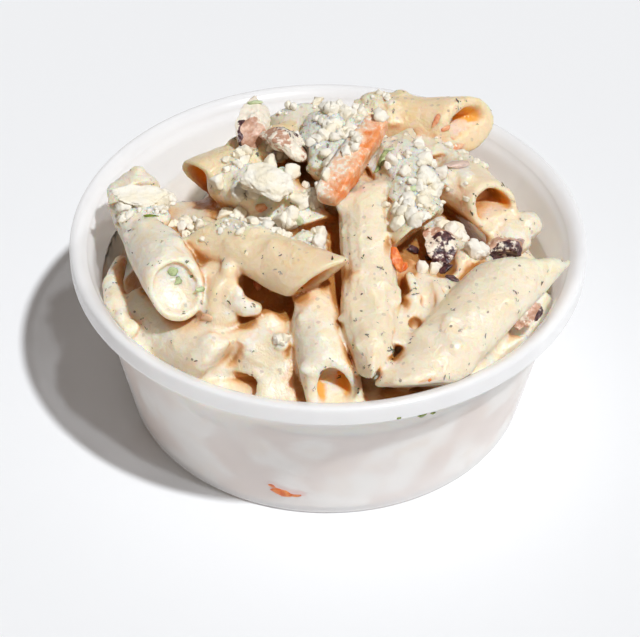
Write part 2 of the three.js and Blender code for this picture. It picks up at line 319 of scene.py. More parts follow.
def oliveLook():
    look = Look("olive")
    skin, cloud, small = look.attribute("skin"), look.noise(4, 3, 0.6), look.noise(1.2, 3, 0.6)
    flesh = cloud.between(0.4, 0.6).mix(*olive["flesh"])
    dark = small.between(0.35, 0.65).mix(*olive["skin"])
    color = skin.between(0.4, 0.6).mix(flesh, dark)
    coated = (look.attribute("coat") + (cloud - 0.5) * 1.4 + (small - 0.5) * 0.9).between(0.42, 0.56)
    return look.finish({
        "Base Color": coated.mix(color, olive["coat"]),
        "Roughness": 0.22 + small * 0.25,
        "Normal": look.bump(small, 0.4),
        "Subsurface Weight": 0.15,
        "Subsurface Radius": (1.0, 0.5, 0.3),
        "Subsurface Scale": olive["depth"] * mm,
    })


packed = {
    "shadow": (0.80, 0.57, 0.42),
    "dressing": (1.0, 0.94, 0.86),
    "pasta": (0.90, 0.66, 0.44),
    "top": 30.5,  # height of the smear of dressing on the wall
    "wave": 0.25,  # how uneven its edge is
    "sections": 26,
    "segments": 120,
}


def packedLook():
    look = Look("packedSalad")
    large, small = look.noise(12, 1, 0.4), look.noise(5, 1, 0.5)
    color = large.between(0.40, 0.58).mix(packed["shadow"], packed["dressing"])
    color = (small.between(0.55, 0.68) * 0.5).mix(color, packed["pasta"])
    return look.finish({
        "Base Color": color,
        "Roughness": 0.55 + small * 0.15,
        "Normal": look.bump(small, 0.3),
    })


plastic = {
    "colors": ((0.93, 0.93, 0.94), (0.96, 0.96, 0.965)),
    "cover": 0.58,  # how much it hides where it is thin
    "thick": 0.07,  # and how much more where it is thick
    "glow": (1.0, 0.96, 0.93),  # painted glow: emission that stands in for the light that the frosted wall passes on
    "glowStrength": 0.06,
}


def plasticLook():
    look = Look("frostedPlastic")
    cloud, grain, thick = look.noise(30, 2), look.noise(0.4, 2), look.noise(16, 1)
    return look.finish({
        "Base Color": cloud.between(0.3, 0.7).mix(*plastic["colors"]),
        "Roughness": 0.18 + grain * 0.08,
        "Normal": look.bump(cloud, 0.25),
        "Alpha": plastic["cover"] + thick.between(0.3, 0.7) * plastic["thick"],
        "IOR": 1.49,
        # painted glow: a faint emission all over the wall
        "Emission Color": plastic["glow"],
        "Emission Strength": plastic["glowStrength"],
    })


pale = {"colors": ((0.895, 0.90, 0.91), (0.905, 0.91, 0.92)), "half": 3.0}  # half its width, in metres


def floorLook():
    look = Look("paleFloor")
    cloud = look.noise(400, 1)
    return look.finish({
        "Base Color": cloud.between(0.2, 0.8).mix(*pale["colors"]),
        "Roughness": 0.9,
        "Specular IOR Level": 0.0,
    })


# Pieces: made from points in mm, ridden on the one body

def addPiece(name, points, faces, material, replaced=(), values=None):
    mesh = bpy.data.meshes.new(name)
    faces = faces.tolist() if isinstance(faces, np.ndarray) else faces
    mesh.from_pydata((np.asarray(points) * mm).tolist(), [], faces)
    mesh.polygons.foreach_set("use_smooth", np.ones(len(mesh.polygons), bool))
    for key, value in (values or {}).items():
        stored = mesh.attributes.new(key, "FLOAT", "POINT")
        stored.data.foreach_set("value", np.asarray(value, np.float32))
    mesh.materials.append(material)
    piece = bpy.data.objects.new(name, mesh)
    bpy.context.scene.collection.objects.link(piece)
    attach(piece, "root")
    if replaced:
        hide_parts(*replaced)
    print("made", name, len(mesh.polygons), "faces")
    return piece


# A smooth random value from -1 to 1 that changes over about size mm
def softNoise(points, size, seed):
    cells = 32
    lattice = np.random.default_rng(seed).uniform(-1, 1, (cells, cells, cells))
    place = np.asarray(points) / size + 7.3
    base = np.floor(place).astype(int)
    part = place - base
    part = part * part * (3 - 2 * part)
    total = 0
    for corner in np.ndindex(2, 2, 2):
        weight = np.prod(np.where(corner, part, 1 - part), axis=-1)
        index = (base + np.array(corner)) % cells
        total = total + weight * lattice[index[..., 0], index[..., 1], index[..., 2]]
    return total


def smoothLess(a, b, soft):
    share = np.clip(0.5 + 0.5 * (b - a) / soft, 0, 1)
    return b + (a - b) * share - soft * share * (1 - share)


def smoothMore(a, b, soft):
    return -smoothLess(-a, -b, soft)


# The cup

cup = {
    "rimRadius": 58.5,
    "height": 44.0,
    "wall": 0.8,
    "baseRadius": 46.5,
    "baseCorner": 1.2,
    "wallTopRadius": 54.1,
    "wallTopHeight": 39.6,
    "skirtHeight": 4.8,
    "segments": 160,
    "rounding": 3,  # times that the corners of the section are cut
}


def outerRadius(z):
    rise = (z - cup["baseCorner"]) / (cup["wallTopHeight"] - cup["baseCorner"])
    return cup["baseRadius"] + (cup["wallTopRadius"] - cup["baseRadius"]) * rise


def innerRadius(z):
    return outerRadius(z) - cup["wall"]


def cutCorners(section):
    for _ in range(cup["rounding"]):
        rounded = [section[0]]
        for (r0, z0), (r1, z1) in zip(section[:-1], section[1:]):
            reach = min(0.25, 0.6 / max(math.hypot(r1 - r0, z1 - z0), 0.01))
            rounded.append((r0 + (r1 - r0) * reach, z0 + (z1 - z0) * reach))
            rounded.append((r1 + (r0 - r1) * reach, z1 + (z0 - z1) * reach))
        section = [*rounded, section[-1]]
    return section


# A closed form turned about Z, from a section that starts and ends on it
def turned(section, segments):
    angles = np.linspace(0, 2 * np.pi, segments, endpoint=False)
    rings = section[1:-1]
    points = [(r * math.cos(a), r * math.sin(a), z) for r, z in rings for a in angles]
    faces = []
    for ring in range(len(rings) - 1):
        for i in range(segments):
            low, high = ring * segments, (ring + 1) * segments
            faces.append((low + i, low + (i + 1) % segments, high + (i + 1) % segments, high + i))
    last = len(points) - segments
    points += [(0, 0, section[0][1]), (0, 0, section[-1][1])]
    for i in range(segments):
        after = (i + 1) % segments
        faces.append((len(points) - 2, after, i))
        faces.append((len(points) - 1, last + i, last + after))
    return points, faces


def addCup():
    rim, top, wall = cup["rimRadius"], cup["height"], cup["wall"]
    skirt, corner = cup["skirtHeight"], cup["baseCorner"]
    # points of the rim, inward from its edge and down from its top
    under = [(3.2, 3.1), (2.8, 1.7), (1.7, 0.9), (wall, 1.4), (wall, skirt), (0, skirt)]
    over = [(0, 0.6), (0.5, 0.12), (1.4, 0), (2.6, 0.5), (3.8, 1.7), (4.1, 2.5)]
    section = [
        (0, 0),
        (cup["baseRadius"] - corner, 0),
        (cup["baseRadius"] - corner * 0.3, corner * 0.3),
        (cup["baseRadius"], corner),
        (cup["wallTopRadius"], cup["wallTopHeight"]),
        *[(rim - inward, top - down) for inward, down in under + over],
        (innerRadius(cup["wallTopHeight"]), cup["wallTopHeight"]),
        (innerRadius(wall + corner), wall + corner),
        (innerRadius(wall) - corner, wall),
        (0, wall),
    ]
    points, faces = turned(cutCorners(section), cup["segments"])
    addPiece("cupShell", points, faces, plasticLook(), ("cup",))


# The core of the salad, with the room that it leaves along the wall

core = {"reach": 52.0, "edge": 32.0, "peak": 52.0}
lump = {"count": 34, "reach": 48.0, "height": 2.6, "radius": 6.5, "seed": 11}
pockets = [(-37, 33, 15, 17), (-52, 6, 10, 9), (48, 16, 14, 14), (2, 50, 14, 13)]  # x, y, radius, depth


# The lumps are drawn by simple sums, so that they come out the same everywhere
def scatteredLumps():
    state = lump["seed"]

    def draw():
        nonlocal state
        state = (state * 1664525 + 1013904223) % 4294967296
        return state / 4294967296

    spots = []
    for _ in range(lump["count"]):
        angle = draw() * 2 * math.pi
        reach = lump["reach"] * math.sqrt(draw())
        radius = lump["radius"] * (0.7 + 0.6 * draw())
        depth = lump["height"] * (0.6 - 1.6 * draw())
        spots.append((reach * math.cos(angle), reach * math.sin(angle), radius, depth))
    return spots


coreSpots = pockets + scatteredLumps()


def coreHeight(x, y):
    share = np.minimum(1, np.hypot(x, y) / core["reach"])
    height = core["edge"] + (core["peak"] - core["edge"]) * (1 - share ** 2)
    for spotX, spotY, radius, depth in coreSpots:
        height = height - depth * np.exp(-((x - spotX) ** 2 + (y - spotY) ** 2) / radius ** 2)
    return height


# Penne: near and far are the middles of the slanted ends, turn is the way the slant faces, and
# holes is how deep they are open. level and dish say how the dressing fills the near one, bare is
# how little dressing is on the outside, and orange is how much painted glow the hollows get.

penne = {"wall": 1.6, "squash": 0.93, "cut": 36, "lip": 1.0, "wobble": 0.04, "ribHeight": 0.13}

pennePieces = {
    "leftTube": {
        "near": (-32.2, -31.5, 53), "far": (-44.3, 8, 46.5), "radius": 6.8, "turn": 180, "cut": 28,
        "holes": (6, 0), "dish": 2.4, "wall": 2.0, "lip": 2.2, "bare": 0.15,
    },
    "topLeft": {
        "near": (-2, -31, 56), "far": (-28.1, -14.1, 54), "radius": 6.1, "turn": 33, "cut": 40,
        "holes": (9, 5), "wall": 2.1, "bare": 0.55,
    },
    "centreDown": {
        "near": (9.3, -46.6, 44.9), "far": (8.2, -1.5, 58.5), "radius": 6.3, "turn": -20, "cut": 45,
        "taper": 14, "holes": (0, 0), "ribs": 17, "bare": 0.35,
    },
    "frontRight": {
        "near": (18.6, -50.2, 43.2), "far": (43.4, -17.6, 50.5), "radius": 8, "squash": 0.74, "turn": -50,
        "cut": 44, "holes": (0, 5), "lip": 2.4, "bow": 0.8, "bare": 0.3,
    },
    "backRight": {
        "near": (32.8, 30.4, 51.8), "far": (9, 35.3, 48.5), "radius": 6.8, "turn": 118, "cut": 36,
        "holes": (8, 0), "level": -1.5, "wall": 2.3, "bare": 0.6,
    },
    "rightTube": {
        "near": (37.3, -0.9, 51.5), "far": (24, 27, 43), "radius": 6.3, "turn": 200, "cut": 20,
        "holes": (8, 0), "level": -1.5, "wall": 1.9, "lip": 1.8, "bare": 0.45,
    },
    "upperLeft": {
        "near": (-28, 10, 50), "far": (0, 28, 50), "radius": 6.9, "turn": -40, "cut": 30,
        "holes": (9, 0), "bare": 0.6,
    },
    "frontMiddle": {
        "near": (1.6, -50, 40.6), "far": (-6, -17, 48), "radius": 6.4, "turn": 180, "cut": 38,
        "holes": (8, 0), "level": -2.9, "wall": 2.6, "lip": 1.8, "bare": 0.15, "orange": 0.8,
    },
    "frontLeft": {
        "near": (-22.5, -38.5, 39), "far": (-43.5, -17.5, 37), "radius": 6.8, "turn": 0, "cut": 20,
        "holes": (0, 8), "lip": 3, "bare": 0.2,
    },
    "frontLow": {
        "near": (-18.7, -42.6, 35.2), "far": (-4, -41, 33), "radius": 5.6, "turn": 225, "cut": 38,
        "holes": (7, 0), "level": -0.6, "wall": 2.1, "bare": 0.25,
    },
    "curled": {
        "near": (-20.5, -28.5, 49), "far": (-31, -3, 45), "radius": 6.2, "turn": -60, "cut": 30,
        "holes": (0, 0), "lip": 2.4, "bare": 0.5,
    },
    "crumbed": {
        "near": (19.2, -15.5, 57), "far": (13.5, 17, 56), "radius": 6.6, "turn": -42, "cut": 48,
        "holes": (9, 0), "bare": 0.45,
    },
    "torn": {
        "near": (15.8, -38.9, 44.5), "far": (31.5, -9, 46.5), "radius": 6.4, "squash": 0.75, "turn": 0,
        "holes": (0, 0), "bare": 0.3,
    },
    "peakUnder": {
        "near": (7, 7, 54.5), "far": (-8, 33, 52), "radius": 6.2, "turn": 30, "cut": 34,
        "holes": (0, 6), "bare": 0.2,
    },
    "backFold": {
        "near": (25, 19, 47), "far": (10, 42, 44), "radius": 6.2, "turn": 60, "cut": 30,
        "holes": (0, 6), "bare": 0.3,
    },
    "middleUp": {
        "near": (-4, -8, 50.5), "far": (-18, 8, 50), "radius": 6, "turn": 20, "cut": 34,
        "holes": (0, 0), "bare": 0.2,
    },
    "middleUnder": {
        "near": (-12, -36, 37), "far": (8, -22, 43), "radius": 6, "turn": 20, "cut": 34,
        "holes": (0, 0), "bare": 0.2,
    },
    "rightWall": {
        "near": (30, -38, 35), "far": (47, -8, 35), "radius": 6.2, "turn": 30, "holes": (0, 5), "bare": 0.1,
    },
    "underLeft": {
        "near": (-39, 12, 36), "far": (-12, -6, 45), "radius": 6.3, "turn": 150, "cut": 34,
        "holes": (7, 0), "bare": 0.2,
    },
    "underRight": {
        "near": (36, -14, 37.5), "far": (10, -4, 43), "radius": 6.2, "turn": 160, "cut": 34,
        "holes": (0, 0), "bare": 0.3,
    },
    "backMiddle": {
        "near": (-14, 36.5, 41), "far": (22, 37.5, 37), "radius": 6.3, "turn": -30,
        "holes": (8, 8), "bare": 0.3,
    },
    "backLeft": {
        "near": (-14, 26, 45), "far": (-19, 43, 30), "radius": 6.1, "turn": 190, "cut": 34,
        "holes": (0, 6), "bare": 0.4,
    },
    "backLow": {
        "near": (33, 33, 33), "far": (14, 44, 30), "radius": 6, "turn": 80, "cut": 34,
        "holes": (7, 0), "bare": 0.2,
    },
    "leftWall": {
        "near": (-44, -8, 26), "far": (-35, 22, 19), "radius": 5.8, "turn": 100, "cut": 34,
        "holes": (0, 0), "bare": 0.3,
    },
    "rightBack": {
        "near": (43, 3, 30), "far": (33, 27, 29), "radius": 6, "turn": 10, "cut": 34,
        "holes": (6, 0), "bare": 0.3,
    },
}


# Dressing that has gathered between them: middle, half sizes, and how softly it joins

dollops = [
    ((-14, -35.5, 40.5), (6.5, 5.5, 4.5), 2.5),
    ((-10.4, -37.6, 42.6), (2.6, 2.3, 2.0), 0.8),
    ((-12.2, -31, 43.6), (4.2, 3, 3), 1.5),
    ((-24.5, -24.5, 47.5), (5.5, 6.5, 5.5), 2.0),
    ((-23.5, -30.0, 45.5), (4.5, 4.0, 4.5), 2.0),
    ((-41, -7.5, 53.2), (6, 4.5, 2.4), 1.5),
    ((-13.2, -26, 50), (2.4, 1.8, 2.2), 1.0),
    ((2, 20, 57), (6.5, 6, 5), 1.5),
    ((-3, 16, 57), (5, 5, 4.5), 1.5),
    ((-6.5, -45.5, 31.5), (6, 5, 4.5), 2.5),
    ((14, -47.5, 34), (10, 5, 4.5), 2.5),
    ((-42, -28, 34), (6, 7, 4), 2.5),
    ((-14, 2, 54), (8, 6, 5), 2.5),
    ((-20, 6, 52), (7, 6, 4), 2.5),
    ((2, 8, 58), (7, 8, 5), 2.5),
    ((16, 4, 60), (5, 8, 3.5), 2.0),
    ((29, 8, 52), (6, 6, 4), 2.5),
    ((44.8, 0, 46), (3.4, 3.2, 3), 1.5),
    ((40.5, -4.5, 45), (5, 4, 3), 1.5),
    ((37, -36, 39), (9, 5, 4.5), 2.5),
    ((20, -20, 47), (6, 6, 4), 2.0),
]

# Rims and folds of it: points along each, with the thickness there

folds = [
    [(-47.0, -5, 38.5, 1.5), (-48.0, -14, 39.5, 2.2), (-46.5, -22, 40, 2.5), (-43.5, -29, 39, 2.2)],
    [(-18.4, -23.2, 54, 1.5), (-20.7, -26, 53.5, 2.0), (-21.4, -28.2, 52, 2.2), (-20.1, -30.4, 50, 2.2),
     (-17.6, -31.3, 48.5, 2.0), (-15.8, -31.1, 47.8, 1.7)],
    [(11, -24, 52, 1.2), (14, -33, 48.8, 1.5), (17, -40, 45.5, 1.2)],
    [(17, -22, 51.5, 1.0), (19, -30, 49.5, 1.3), (20, -36, 47.5, 1.0)],
    [(23, -26, 50.5, 0.9), (24, -30, 50.0, 1.1), (22, -35, 48.8, 0.8)],
]

# Hollows worn into it, where it is dark: middle and half sizes

dents = [
    ((-16.2, -25.5, 49.5), (3.2, 4.2, 3.6)),
    ((-7, -28, 46.5), (5, 3.5, 2.2)),
    ((-33, -2, 50), (4.5, 5, 4)),
    ((22.5, -14, 50.5), (5.5, 4.5, 4.0)),
    ((24, -19.5, 51.5), (4.5, 4.0, 3.6)),
    ((17, -20.5, 52.5), (2.6, 3.0, 3.0)),
    ((21, -31, 50), (1.3, 1.6, 1.6)),
    ((18.6, -36.5, 48), (1.2, 1.5, 1.5)),
    ((15, -41.5, 46), (1.2, 1.2, 1.5)),
]

# Painted shade, darker deep between the pieces: place, reach and how much

paintedShade = [
    ((-6, -25.5, 44), 6, 0.5),
    ((-11.6, -25.6, 45.2), 5, 0.55),
    ((-16.9, -21.6, 47.4), 4, 0.4),
    ((-1, -8, 50), 4, 0.6),
    ((-1.5, -22, 50), 4, 0.5),
    ((20.4, -13, 47.6), 6, 0.6),
    ((25, -20, 49), 5, 0.5),
    ((32.5, 1, 43), 5, 0.5),
    ((-42.1, -12, 37.5), 7, 0.35),
    ((-27, 9, 45), 7, 0.5),
    ((-7, 10, 54), 4, 0.6),
    ((15.4, -48, 38), 4, 0.3),
    ((-5.7, -46.5, 37), 4, 0.3),
]

# Small clots of it all over, with their sizes in mm. crumbs is how many more lie in the feta's
# patches, for each crumb there, and clear is how far they stay from the open ends.

clots = {
    "count": 330, "small": 0.5, "large": 1.6, "flat": 0.7, "soft": 0.8,
    "crumbs": 2.2, "crumbSizes": (0.7, 1.7), "crumbSoft": 0.35,
    "clear": 2.5, "lowest": 33, "seed": 17,
}


class Tube:
    def __init__(self, piece, seed):
        self.piece = piece
        self.near, self.far = np.array(piece["near"], float), np.array(piece["far"], float)
        self.length = float(np.linalg.norm(self.far - self.near))
        self.along = (self.far - self.near) / self.length
        side = np.cross(self.along, (0, 0, 1))
        self.side = side / np.linalg.norm(side)
        self.up = np.cross(self.side, self.along)
        self.cut = math.radians(piece.get("cut", penne["cut"]))
        self.turn = math.radians(piece["turn"])
        self.radius = piece["radius"]
        self.wall = piece.get("wall", penne["wall"])
        self.lip = piece.get("lip", penne["lip"])
        self.waves = np.random.default_rng(seed).uniform(0, 2 * np.pi, 6)

    # place in the tube: how far along from the slanted end, across, up and from the middle
    def inside(self, x, y, z):
        away = [x - self.near[0], y - self.near[1], z - self.near[2]]
        axes = (self.along, self.side, self.up)
        along, across, high = (sum(a * b for a, b in zip(away, axis)) for axis in axes)
        share = np.clip(along / self.length, 0, 1)
        high = high - self.piece.get("bow", 0) * 4 * share * (1 - share)
        high = high / self.piece.get("squash", penne["squash"])
        if "taper" in self.piece:
            start = math.tan(self.cut) * self.radius
            across = across / np.clip((along + start) / self.piece["taper"], 0.1, 1) ** 0.7
        reach = along + math.tan(self.cut) * (high * math.cos(self.turn) + across * math.sin(self.turn))
        return reach, across, high, np.sqrt(across ** 2 + high ** 2)

    def uneven(self, reach, across, high):
        angle = np.arctan2(high, across)
        share = reach / self.length * 2 * np.pi
        waves = self.waves
        bend = np.sin(2 * angle + waves[0] + 0.7 * np.sin(share * 0.6 + waves[1]))
        bend = bend + 0.6 * np.sin(3 * angle + waves[2]) * np.sin(share * 0.9 + waves[3])
        bend = bend + 0.5 * np.sin(share * 1.3 + waves[4])
        grown = self.radius * (1 + penne["wobble"] * bend)
        if "ribs" in self.piece:
            grown = grown + penne["ribHeight"] * np.cos(self.piece["ribs"] * angle)
        return grown

    # distance to the tube's skin and to the hollows at its two ends
    def distances(self, x, y, z):
        reach, across, high, middle = self.inside(x, y, z)
        grown = self.uneven(reach, across, high)
        flat = math.cos(self.cut)
        nearFace, farFace = -reach * flat, (reach - self.length) * flat
        body = smoothMore(smoothMore(middle - grown, nearFace, self.lip), farFace, self.lip)
        bore = middle - (grown - self.wall)
        nearDepth, farDepth = self.piece["holes"]
        nearEnd = reach - nearDepth
        if "dish" in self.piece:
            nearEnd = reach - self.piece["dish"] * (1.15 - (middle / self.radius) ** 2)
        nothing = np.full_like(bore, heap["outside"])
        nearHole = np.maximum(bore, nearEnd * flat) if nearDepth else nothing
        if "level" in self.piece:
            sunk = self.piece["level"] + 0.1 * reach - high
            nearHole = smoothMore(nearHole, sunk, 0.8)
        if farDepth:
            nearHole = np.minimum(nearHole, np.maximum(bore, (self.length - farDepth - reach) * flat))
        return body, nearHole

    def block(self):
        room = self.radius * 2.1 + 2
        return np.minimum(self.near, self.far) - room, np.maximum(self.near, self.far) + room


tubes = [Tube(piece, 40 + i) for i, piece in enumerate(pennePieces.values())]


# The heap as distances on a grid, then as a skin

heap = {
    "step": 0.5,
    "outside": 9.0,  # the distance that stands for nothing near
    "low": (-54.5, -54.5, 14.0),
    "high": (54.5, 54.5, 68.0),
    "tubeSoft": 0.7,  # how softly tubes run into each other
    "coreSoft": 1.8,
    "intoWall": 0.2,
    "coat": [(6.0, 0.30), (3.0, 0.16), (1.6, 0.07)],  # waves of the dressing: size and depth
    "plain": 0.05,  # how much the skin is thinned out where it is even
}


class Grid:
    def __init__(self):
        self.low = np.array(heap["low"])
        self.step = heap["step"]
        self.size = np.round((np.array(heap["high"]) - self.low) / self.step).astype(int) + 1
        self.values = np.full(self.size, heap["outside"], np.float32)

    # the part of the grid between two corners, and its places
    def part(self, low, high):
        first = np.clip(np.floor((low - self.low) / self.step).astype(int), 0, self.size)
        last = np.clip(np.ceil((high - self.low) / self.step).astype(int) + 1, 0, self.size)
        where = tuple(slice(a, b) for a, b in zip(first, last))
        axes = [self.low[i] + self.step * np.arange(first[i], last[i], dtype=np.float32) for i in range(3)]
        return where, np.meshgrid(*axes, indexing="ij", sparse=True)

    def sample(self, points):
        place = np.clip((points - self.low) / self.step, 0, np.array(self.size) - 1.001)
        base = place.astype(int)
        part = place - base
        total = 0
        for corner in np.ndindex(2, 2, 2):
            weight = np.prod(np.where(corner, part, 1 - part), axis=1)
            at = base + np.array(corner)
            total = total + weight * self.values[at[:, 0], at[:, 1], at[:, 2]]
        return total

    def slope(self, points):
        steps = np.eye(3) * self.step * 0.7
        way = np.stack([self.sample(points + step) - self.sample(points - step) for step in steps], axis=1)
        return way / (np.linalg.norm(way, axis=1, keepdims=True) + 1e-9)


def ballDistance(places, middle, sizes):
    away = [(place - m) / size for place, m, size in zip(places, middle, sizes)]
    return (np.sqrt(sum(a ** 2 for a in away)) - 1) * sizes.min()


def addDollop(grid, middle, sizes, soft):
    where, places = grid.part(middle - sizes - 4, middle + sizes + 4)
    grid.values[where] = smoothLess(grid.values[where], ballDistance(places, middle, sizes), soft)


def addDent(grid, middle, sizes):
    where, places = grid.part(middle - sizes - 3, middle + sizes + 3)
    grid.values[where] = smoothMore(grid.values[where], -ballDistance(places, middle, sizes), 1.5)


def addFold(grid, first, last):
    thick = max(first[3], last[3]) + 3
    ends = np.array([first[:3], last[:3]])
    where, (x, y, z) = grid.part(ends.min(axis=0) - thick, ends.max(axis=0) + thick)
    way = last[:3] - first[:3]
    away = [x - first[0], y - first[1], z - first[2]]
    share = np.clip(sum(a * w for a, w in zip(away, way)) / (way @ way), 0, 1)
    far = np.sqrt(sum((a - share * w) ** 2 for a, w in zip(away, way)))
    grid.values[where] = smoothLess(grid.values[where], far - (first[3] + (last[3] - first[3]) * share), 1.0)


def addClots(grid, hollows):
    chance = np.random.default_rng(clots["seed"])
    inside = grid.values < 0
    top = inside.shape[2] - 1 - np.argmax(inside[:, :, ::-1], axis=2)

    def addClot(column, size, soft):
        column = (*column, top[tuple(column)])
        if hollows[column] > clots["clear"]:
            sizes = size * np.array([*chance.uniform(0.8, 1.5, 2), clots["flat"]])
            addDollop(grid, grid.low + np.array(column) * grid.step, sizes, soft)

    columns = np.argwhere(inside.any(axis=2) & (top * grid.step + grid.low[2] > clots["lowest"]))
    for column in chance.choice(columns, clots["count"], replace=False):
        size = clots["small"] + (clots["large"] - clots["small"]) * chance.random() ** 2.2
        addClot(column, size, clots["soft"] + size * 0.4)
    for middle, spread, count, _ in crumbPatches:
        for _ in range(round(count * clots["crumbs"])):
            spot = np.array(middle) + np.array(spread) * chance.normal(0, 0.6, 2)
            column = np.round((spot - grid.low[:2]) / grid.step).astype(int)
            addClot(column, chance.uniform(*clots["crumbSizes"]), clots["crumbSoft"])


def fillGrid():
    grid = Grid()
    hollows = np.full(grid.size, heap["outside"], np.float32)
    for tube in tubes:
        where, places = grid.part(*tube.block())
        body, hole = tube.distances(*places)
        grid.values[where] = smoothLess(grid.values[where], body, heap["tubeSoft"])
        hollows[where] = np.minimum(hollows[where], hole)
    where, (x, y, z) = grid.part(grid.low, np.array(heap["high"]))
    mass = (z - coreHeight(x, y)) * 0.8
    grid.values = smoothLess(grid.values, mass, heap["coreSoft"])
    grid.values = smoothMore(grid.values, -hollows, penne["lip"])
    for middle, sizes, soft in dollops:
        addDollop(grid, np.array(middle), np.array(sizes), soft)
    for fold in folds:
        for first, last in zip(fold[:-1], fold[1:]):
            addFold(grid, np.array(first), np.array(last))
    for middle, sizes in dents:
        addDent(grid, np.array(middle), np.array(sizes))
    addClots(grid, hollows)
    places = np.stack(np.broadcast_arrays(x, y, z), axis=-1)
    for size, depth in heap["coat"]:
        grid.values = grid.values - depth * softNoise(places, size, round(size * 10))
    room = np.where(z < cup["height"], innerRadius(z) + heap["intoWall"], 99)
    grid.values = np.maximum(grid.values, np.hypot(x, y) - room)
    grid.values = np.maximum(grid.values, heap["low"][2] + 1.0 - z).astype(np.float32)
    return grid


# Keeps the largest connected part of a skin
def largestPart(points, threes, fours):
    label = np.arange(len(points))
    while True:
        new = label.copy()
        for faces in (threes, fours):
            least = label[faces].min(axis=1)
            for i in range(faces.shape[1]):
                np.minimum.at(new, faces[:, i], least)
        new = new[new]
        if (new == label).all():
            break
        label = new
    names, counts = np.unique(label, return_counts=True)
    kept = label == names[counts.argmax()]
    number = np.cumsum(kept) - 1
    faces = [number[some[kept[some[:, 0]]]].tolist() for some in (threes, fours)]
    return points[kept], [*faces[0], *faces[1]]


def skinOf(grid):
    volume = openvdb.FloatGrid(heap["outside"])
    volume.copyFromArray(grid.values)
    volume.transform = openvdb.createLinearTransform(grid.step)
    points, threes, fours = volume.convertToPolygons(0.0, heap["plain"])
    return largestPart(points + grid.low, threes.astype(int), fours.astype(int))


# For each point of the skin: the nearest tube's bareness, and how far it is inside a hollow, which sets how
# much painted glow it gets
def tubeValues(points):
    nearest = np.full(len(points), 1.2)
    bare = np.zeros(len(points))
    hollow = np.zeros(len(points))
    for tube in tubes:
        low, high = tube.block()
        close = np.where(((points > low) & (points < high)).all(axis=1))[0]
        x, y, z = points[close].T
        body, hole = tube.distances(x, y, z)
        reach, across, high, middle = tube.inside(x, y, z)
        better = np.abs(body) < nearest[close]
        nearest[close[better]] = np.abs(body[better])
        bare[close[better]] = tube.piece["bare"]
        inner = (np.abs(middle - (tube.radius - tube.wall)) < 0.9) & (np.abs(hole) < 0.9)
        sunk = np.minimum(reach, tube.length - reach)
        orange = 0.25 if "dish" in tube.piece else tube.piece.get("orange", 1.0)
        hollow[close] = np.maximum(hollow[close], orange * inner * np.clip(sunk / 3, 0, 1))
    return bare, hollow


# How closed in a point is, from what lies around it at four distances in mm
def gapValues(grid, points, normals):
    total = 0
    for far in (1.5, 3.0, 6.0, 10.0):
        open_ = grid.sample(points + normals * far) / far
        total = total + np.clip(1 - open_, 0, 1) / 4
    return total


def paintedShadeValues(points):
    total = np.zeros(len(points))
    for middle, reach, amount in paintedShade:
        total += amount * np.exp(-((points - np.array(middle)) ** 2).sum(axis=1) / reach ** 2)
    return total


def crumblyValues(points, normals):
    total = np.zeros(len(points))
    for middle, spread, count, _ in crumbPatches:
        away = (points[:, :2] - np.array(middle)) / (np.array(spread) * 0.9)
        total += min(count / 20, 1.2) * np.exp(-(away ** 2).sum(axis=1))
    return np.clip(total, 0, 1) * np.clip(normals[:, 2] * 2, 0, 1)


def addHeap():
    grid = fillGrid()
    print("heap filled,", grid.values.size, "grid points")
    points, faces = skinOf(grid)
    for _ in range(2):  # brings the points closer to the exact form
        points = points - grid.slope(points) * grid.sample(points)[:, None] * 0.8
    normals = grid.slope(points)
    gap = gapValues(grid, points, normals)
    bare, hollow = tubeValues(points)
    # painted shade: darker spots deep between the pieces, added to how closed in each point is
    gap = np.clip(gap + paintedShadeValues(points), 0, 1)
    values = {"gap": gap, "bare": bare, "hollow": hollow, "crumbly": crumblyValues(points, normals)}
    addPiece("dressedPasta", points, faces, creamLook(), ("pasta_heap",), values)
    return grid


# What shows through the wall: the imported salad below, just into the plastic, and the smear of
# dressing that goes up from it

def addPackedSalad():
    top, bottom, floor = packed["top"], 2.0, cup["wall"] - 0.15
    section = [(0, floor)]
    section += [(innerRadius(2.2) * share, floor) for share in (0.5, 0.97)]
    for i in range(packed["sections"] + 1):
        z = bottom + (top - bottom) * i / packed["sections"]
        section.append((innerRadius(z) + heap["intoWall"] + 0.1, z))
    section += [(innerRadius(top) * share, top) for share in (0.97, 0.8, 0.3)]
    section.append((0, top))
    points, faces = turned(section, packed["segments"])
    points = np.array(points, float)
    x, y, z = points.T
    wave = softNoise(points * np.array([1, 1, 0]), 16.0, 5)
    atWall = np.hypot(x, y) > innerRadius(z) - 0.3
    points[:, 2] = np.where(atWall & (z > 20), z + (z - 20) * packed["wave"] * wave, z)
    sunk = (z > 20) & ~atWall
    points[sunk, 2] = np.minimum(z[sunk], coreHeight(x[sunk], y[sunk]) - 2)
    addPiece("packedSalad", points, faces, packedLook())


# Where the food is met: by a ray through a pixel of the photograph, or from straight above

class Surface:
    def __init__(self, pieces):
        self.trees = [BVHTree.FromObject(piece, bpy.context.evaluated_depsgraph_get()) for piece in pieces]

    # place and normal of the first hit, or None
    def hit(self, start, way):
        best = None
        for tree in self.trees:
            place, normal, _, far = tree.ray_cast(Vector(start * mm), way)
            if place and (best is None or far < best[2]):
                best = (np.array(place) / mm, np.array(normal), far)
        return best and best[:2]

    def under(self, px, py):
        forward, right, up, place = cameraAxes()
        width, height = view["size"]
        way = forward + right * (px - width / 2) / view["focal"] + up * (height / 2 - py) / view["focal"]
        return self.hit(place, Vector(way).normalized())

    def below(self, x, y):
        return self.hit(np.array([x, y, 200.0]), Vector((0, 0, -1)))


